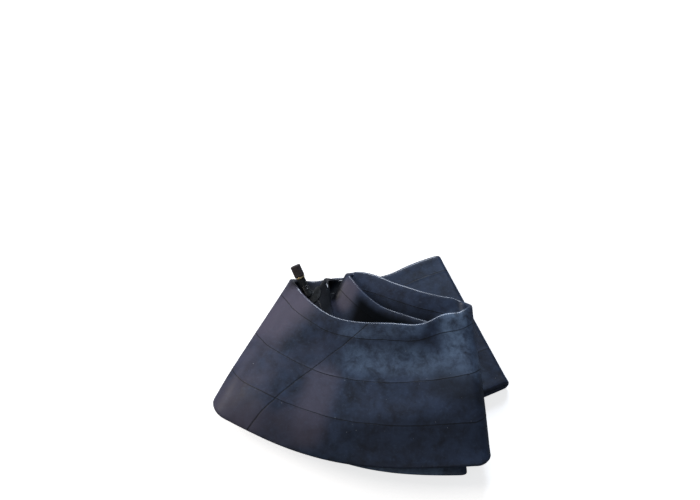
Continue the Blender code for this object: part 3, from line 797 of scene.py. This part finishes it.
def buildInsert():
    n = insert
    edge = n["chamfer"]
    shoulder = n["collarStart"] + n["collarLength"]
    threadLow, threadHigh = shoulder + n["runOut"] / 2, n["mouth"] - 0.3
    rows = int((threadHigh - threadLow) / n["threadPitch"] * n["threadRows"])
    drop = (threadHigh - threadLow) / rows
    thread = [(n["threadRadius"], threadHigh - drop * row) for row in range(rows + 1)]
    rim = [(n["upperBore"] + edge, n["mouth"]), (n["threadRadius"] - 0.4, n["mouth"])]
    collar = [(n["threadRadius"], shoulder), (n["collarRadius"] - edge, shoulder),
              (n["collarRadius"], shoulder - edge), (n["collarRadius"], n["collarStart"] + edge),
              (n["collarRadius"] - edge, n["collarStart"]), (n["radius"], n["collarStart"])]
    inside = [(n["radius"], n["start"]), (n["lowerBore"], n["start"]), (n["lowerBore"], n["boreStep"]),
              (n["upperBore"], n["boreStep"] + n["boreTaper"]), (n["upperBore"], n["mouth"] - edge)]
    bm = spun(rim + thread + collar + inside, n["steps"], closed=True)
    for vert in bm.verts:
        if onWall(vert, n["threadRadius"], threadLow, threadHigh):
            height = vert.co.z / mm
            turn = (height / n["threadPitch"] - math.atan2(vert.co.y, vert.co.x) / (2 * math.pi)) % 1
            groove(vert, n["threadDepth"] * abs(2 * turn - 1) * min(1, (height - threadLow) / n["runOut"]))
    bmesh.ops.transform(bm, matrix=valveFrame, verts=bm.verts)
    piece = finishPiece(bm, "valveInsert", materials["turned brass, dulled"], "tube")
    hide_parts("valve_stem_insert")
    print("valve insert:", len(piece.data.polygons), "faces")


cap = {  # sizes in mm, heights from the valve's foot
    "steps": 160,
    "foot": 22.4,
    "top": 34.0,
    "radius": 4.9,
    "edge": 0.9,
    "roof": 1.5,
    "bore": 4.2,
    "ribs": 20,
    "ribDepth": 0.22,
    "ribStart": 23.4,
    "ribEnd": 32.2,
    "ribFades": (0.6, 0.9),       # at the foot and at the top
    "ribRows": 14,
}


def buildCap():
    c = cap
    radius, roof = c["radius"], c["top"] - c["roof"]
    rise = (c["ribEnd"] - c["ribStart"]) / c["ribRows"]
    crown = [(0, c["top"]), (radius - c["edge"] - 0.4, c["top"]),
             (radius - c["edge"] + 0.15, c["top"] - 0.12), (radius - 0.3, c["top"] - 0.5),
             (radius - 0.05, c["top"] - c["edge"])]
    side = [(radius, c["ribEnd"] - rise * row) for row in range(c["ribRows"] + 1)]
    inside = [(radius, c["foot"] + 0.2), (radius - 0.2, c["foot"]), (c["bore"], c["foot"]), (c["bore"], roof),
              (0, roof)]
    bm = spun(crown + side + inside, c["steps"], closed=False)
    for vert in bm.verts:
        if onWall(vert, radius, c["ribStart"], c["ribEnd"]):
            height = vert.co.z / mm
            wave = 0.5 - 0.5 * math.cos(c["ribs"] * math.atan2(vert.co.y, vert.co.x))
            low, high = c["ribFades"]
            fade = min(1, (height - c["ribStart"]) / low, (c["ribEnd"] - height) / high)
            groove(vert, c["ribDepth"] * wave ** 2 * max(fade, 0))
    bmesh.ops.transform(bm, matrix=valveFrame, verts=bm.verts)
    piece = finishPiece(bm, "valveCap", materials["moulded black polypropylene"], "cap")
    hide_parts("valve_cap")
    print("valve cap:", len(piece.data.polygons), "faces")


buildCover()
buildInsert()
buildCap()

carriedOver = {  # pieces kept as they come from the frame
    "valve_patch": "vulcanised pad rubber",
    "core_plug": "turned brass, dulled",
    "core_barrel": "turned brass, dulled",
    "core_cup": "turned brass, dulled",
    "core_pin": "drawn stainless steel",
    "core_spring": "drawn stainless steel",
    "core_plug_seal": "moulded PTFE seal",
    "core_cup_gasket": "moulded gasket rubber",
    "cap_seal": "red nitrile rubber",
}
for nodeName, materialName in carriedOver.items():
    nodeMesh = frame["nodes"][nodeName].data
    nodeMesh.materials.clear()
    nodeMesh.materials.append(materials[materialName])
print("materials:", len(bpy.data.materials))


studio = {
    "floorSize": 6.0,
    "floor": "#f2f2f2",           # as the camera sees it
    "floorGlow": 0.7,             # seen by the camera alone, so it lights nothing
    "bounce": "#8c8c8c",          # as the object's own reflections see it
    "world": "#dfe8f4",
    "worldStrength": 0.12,
}


def sweepMaterial():  # matt white paper, brighter to the camera than to the rubber lying on it
    material, tree, shader = newMaterial("white paper sweep")
    rays = addNode(tree, "ShaderNodeLightPath").outputs["Is Camera Ray"]
    tree.links.new(mixColours(tree, rays, linear(studio["bounce"]), linear(studio["floor"])),
                   shader.inputs["Base Color"])
    shader.inputs["Roughness"].default_value = 0.9
    shader.inputs["Specular IOR Level"].default_value = 0.0
    shader.inputs["Emission Color"].default_value = (1, 1, 1, 1)
    tree.links.new(scaled(tree, rays, studio["floorGlow"]), shader.inputs["Emission Strength"])
    return material


def buildStage():
    bm = bmesh.new()
    bmesh.ops.create_grid(bm, x_segments=1, y_segments=1, size=studio["floorSize"] / 2)
    mesh = bpy.data.meshes.new("floor")
    bm.to_mesh(mesh)
    bm.free()
    mesh.materials.append(sweepMaterial())
    floor = bpy.data.objects.new("floor", mesh)
    bpy.context.scene.collection.objects.link(floor)
    world = bpy.data.worlds.new("studio")
    world.use_nodes = True
    background = world.node_tree.nodes["Background"]
    background.inputs["Color"].default_value = linear(studio["world"])
    background.inputs["Strength"].default_value = studio["worldStrength"]
    bpy.context.scene.world = world


lamps = {
    # name: place, aim, size in metres, watts, colour
    "back softbox": ((0.15, 1.2, 0.7), (0, 0, 0.02), 0.5, 14.5, "#e6f0ff"),
    "left softbox": ((-1.15, 0.35, 0.85), (0, 0, 0.02), 0.6, 10.0, "#fff8f2"),
    "front fill": ((0.3, -1.2, 1.0), (0, 0, 0.02), 0.9, 2.2, "#ffffff"),
}


def buildLamps():
    for name, (place, aim, size, watts, colour) in lamps.items():
        light = bpy.data.lights.new(name, "AREA")
        light.shape = "SQUARE"
        light.size = size
        light.energy = watts
        light.color = linear(colour)[:3]
        lamp = bpy.data.objects.new(name, light)
        lamp.location = place
        lamp.rotation_euler = (Vector(aim) - Vector(place)).to_track_quat("-Z", "Y").to_euler()
        bpy.context.scene.collection.objects.link(lamp)


shot = {
    "aim": (-0.0114, 0.1247, 0.0),
    "elevation": 62,              # degrees, from the front
    "distance": 1.28,
    "lens": 66,
}


def buildCamera():
    data = bpy.data.cameras.new("camera")
    data.lens = shot["lens"]
    data.sensor_width = 36
    data.clip_start = 0.05
    data.clip_end = 20
    camera = bpy.data.objects.new("camera", data)
    angle = math.radians(shot["elevation"])
    back = Vector((0, -math.cos(angle), math.sin(angle)))
    camera.location = Vector(shot["aim"]) + back * shot["distance"]
    camera.rotation_euler = (-back).to_track_quat("-Z", "Y").to_euler()
    bpy.context.scene.collection.objects.link(camera)
    bpy.context.scene.camera = camera


buildStage()
buildLamps()
buildCamera()
bpy.context.scene.view_settings.view_transform = "Standard"
print("stage, lamps and camera ready")
